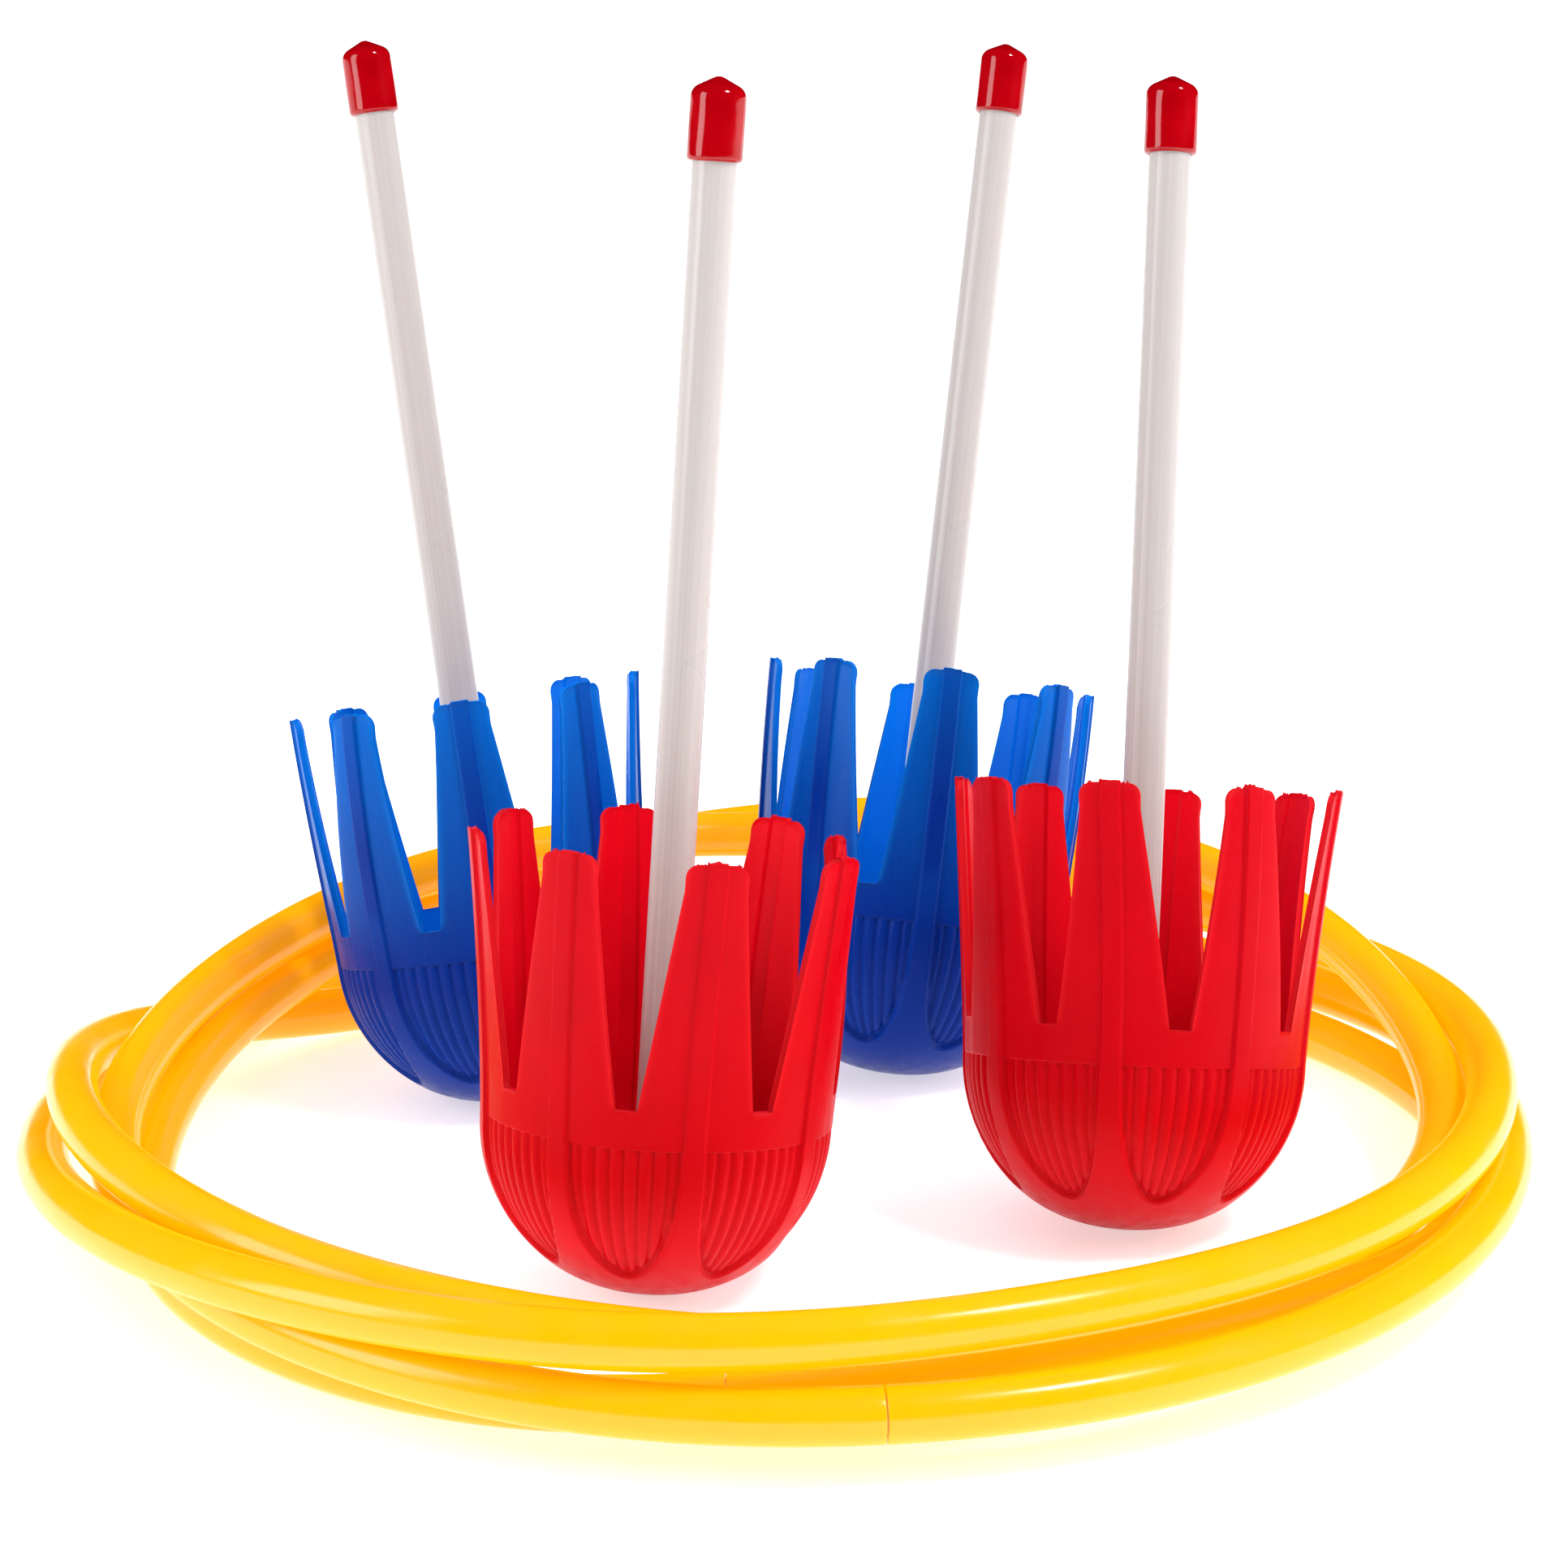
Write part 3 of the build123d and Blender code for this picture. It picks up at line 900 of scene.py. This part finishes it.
def vinyl_material():
    """Glossy dipped vinyl, with the slight orange peel of a dipped coat."""
    material, nodes, links, shader = new_material("red_vinyl")
    coords = place_coords(nodes)
    cloud = noise(nodes, links, coords, 120, 2)
    mottle(nodes, links, shader, cloud, (0.36, 0.0, 0.003), (0.43, 0.0, 0.004))
    roughen(nodes, links, shader, cloud, 0.06, 0.11)
    peel = noise(nodes, links, coords, 420, 2)
    bump(nodes, links, shader, peel.outputs["Fac"], 0.10, 0.0003)
    set_inputs(shader, Subsurface_Weight=0.15, Subsurface_Scale=0.002)
    return material


def speckled_material(name, first, second, scale, low_rough, high_rough, relief):
    """Plain moulded or cast material with a mottled colour, roughness and relief."""
    material, nodes, links, shader = new_material(name)
    coords = object_coords(nodes)
    spots = noise(nodes, links, coords, scale, 4)
    mottle(nodes, links, shader, spots, first, second)
    roughen(nodes, links, shader, spots, low_rough, high_rough)
    bump(nodes, links, shader, spots.outputs["Fac"], relief, 0.0004)
    return material


def floor_material():
    """Plain pale studio paper with a very faint tooth."""
    paper = speckled_material("floor_paper", (0.92, 0.92, 0.92), (0.94, 0.94, 0.94), 30, 0.8, 0.95, 0.05)
    shader = principled(paper)
    shader.inputs["Emission Color"].default_value = (1.0, 1.0, 1.0, 1.0)
    shader.inputs["Emission Strength"].default_value = FLOOR_GLOW
    return paper


def make_materials():
    iron = speckled_material("ballast_iron", (0.09, 0.09, 0.10), (0.17, 0.16, 0.16), 500, 0.45, 0.75, 0.5)
    principled(iron).inputs["Metallic"].default_value = 0.7
    return {
        # each shell's first colour is painted shade at the ball's foot; its fourth is the painted
        # highlight along the fins' edges
        "red_shell": shell_material(
            "red_shell", (0.29, 0.0, 0.004), (0.56, 0.0, 0.007), (0.60, 0.0, 0.008),
            (0.75, 0.012, 0.02), 0.38, 0.4, 0.08),
        "blue_shell": shell_material(
            "blue_shell", (0.0, 0.020, 0.20), (0.0, 0.032, 0.32), (0.0, 0.135, 0.62),
            (0.0, 0.20, 0.80), 0.30, 0.12, 0.09),
        "yellow_tube": tube_material(),
        "white_shaft": shaft_material(),
        "red_vinyl": vinyl_material(),
        "ballast_iron": iron,
        "socket_plastic": speckled_material(
            "socket_plastic", (0.045, 0.045, 0.05), (0.06, 0.06, 0.065), 700, 0.4, 0.55, 0.2),
        "connector_plastic": speckled_material(
            "connector_plastic", (0.78, 0.76, 0.70), (0.86, 0.84, 0.79), 600, 0.45, 0.6, 0.15),
    }


def dress_cad_nodes():
    """Gives each CAD node that stays visible its detailed material."""
    kinds = {"_ballast": "ballast_iron", "_socket": "socket_plastic", "_connector": "connector_plastic"}
    for name, obj in frame["nodes"].items():
        for ending, material in kinds.items():
            if name.endswith(ending):
                obj.data.materials.clear()
                obj.data.materials.append(MATERIALS[material])


# ------------------------------------------------------------------ studio

def make_floor():
    corners = ((-1, -1), (1, -1), (1, 1), (-1, 1))
    points = [(x * FLOOR_HALF, y * FLOOR_HALF, 0) for x, y in corners]
    mesh = bpy.data.meshes.new("floor")
    mesh.from_pydata(points, [], [(0, 1, 2, 3)])
    floor = bpy.data.objects.new("floor", mesh)
    bpy.context.scene.collection.objects.link(floor)
    mesh.materials.append(floor_material())
    return floor


def make_light(name, middle):
    """One soft lamp of the studio, aimed at the darts."""
    (across, back, up), (width, height), watts = LAMPS[name]
    data = bpy.data.lights.new(name, "AREA")
    data.shape = "RECTANGLE"
    data.size = width
    data.size_y = height
    data.energy = watts
    lamp = bpy.data.objects.new(name, data)
    bpy.context.scene.collection.objects.link(lamp)
    position = (middle.x + across, middle.y + back, up)
    lamp.location = position
    aim = Vector((middle.x, middle.y, LAMP_AIM_Z)) - Vector(position)
    lamp.rotation_mode = "QUATERNION"
    lamp.rotation_quaternion = aim.to_track_quat("-Z", "Y")
    return lamp


def make_world():
    """Even white surroundings, dimmer behind the camera, that leave no reflections."""
    world = bpy.data.worlds.new("studio")
    bpy.context.scene.world = world
    world.use_nodes = True
    nodes, links = world.node_tree.nodes, world.node_tree.links
    background = nodes["Background"]
    coords = nodes.new("ShaderNodeTexCoord")
    parts = nodes.new("ShaderNodeSeparateXYZ")
    links.new(coords.outputs["Generated"], parts.inputs["Vector"])
    depth = value_range(nodes, links, parts.outputs["Y"], 0.0, 1.0, -1.0, 1.0)
    front = ramp(nodes, links, depth.outputs["Result"],
                 [(0.12, (FRONT_DIM,) * 3), (0.42, (1.0, 1.0, 1.0))])
    links.new(front.outputs["Color"], background.inputs["Color"])
    background.inputs["Strength"].default_value = STUDIO_STRENGTH
    world.cycles_visibility.glossy = False


def make_lights(middle):
    make_light("key", middle)
    make_light("left", middle)
    right = make_light("right", middle)
    right.visible_glossy = False


def make_camera(middle):
    data = bpy.data.cameras.new("camera")
    data.lens = CAMERA_LENS
    data.sensor_width = 36.0
    data.clip_start = 0.05
    data.clip_end = 20.0
    camera = bpy.data.objects.new("camera", data)
    bpy.context.scene.collection.objects.link(camera)
    camera.location = (middle.x, middle.y - CAMERA_BACK * MM, CAMERA_HEIGHT * MM)
    pitch = math.radians(CAMERA_PITCH)
    yaw = math.radians(CAMERA_YAW)
    forward = Vector((math.sin(yaw) * math.cos(pitch), math.cos(yaw) * math.cos(pitch), -math.sin(pitch)))
    camera.rotation_mode = "QUATERNION"
    camera.rotation_quaternion = forward.to_track_quat("-Z", "Y")
    bpy.context.scene.camera = camera


# ------------------------------------------------------------------ everything

SHELL_SEED = 11
SHAFT_SEED = 31
CAP_SEED = 51

bpy.context.scene.view_settings.view_transform = "Standard"
MATERIALS = make_materials()
MIDDLE = rings_middle()
make_world()
make_floor()
make_lights(MIDDLE)
make_camera(MIDDLE)
dress_cad_nodes()
for ring_name in RINGS:
    make_ring(ring_name, MIDDLE)
for number, dart_name in enumerate(DARTS):
    make_shell(dart_name, SHELL_SEED + number)
    make_shaft(dart_name, SHAFT_SEED + number)
    make_cap(dart_name, CAP_SEED + number)
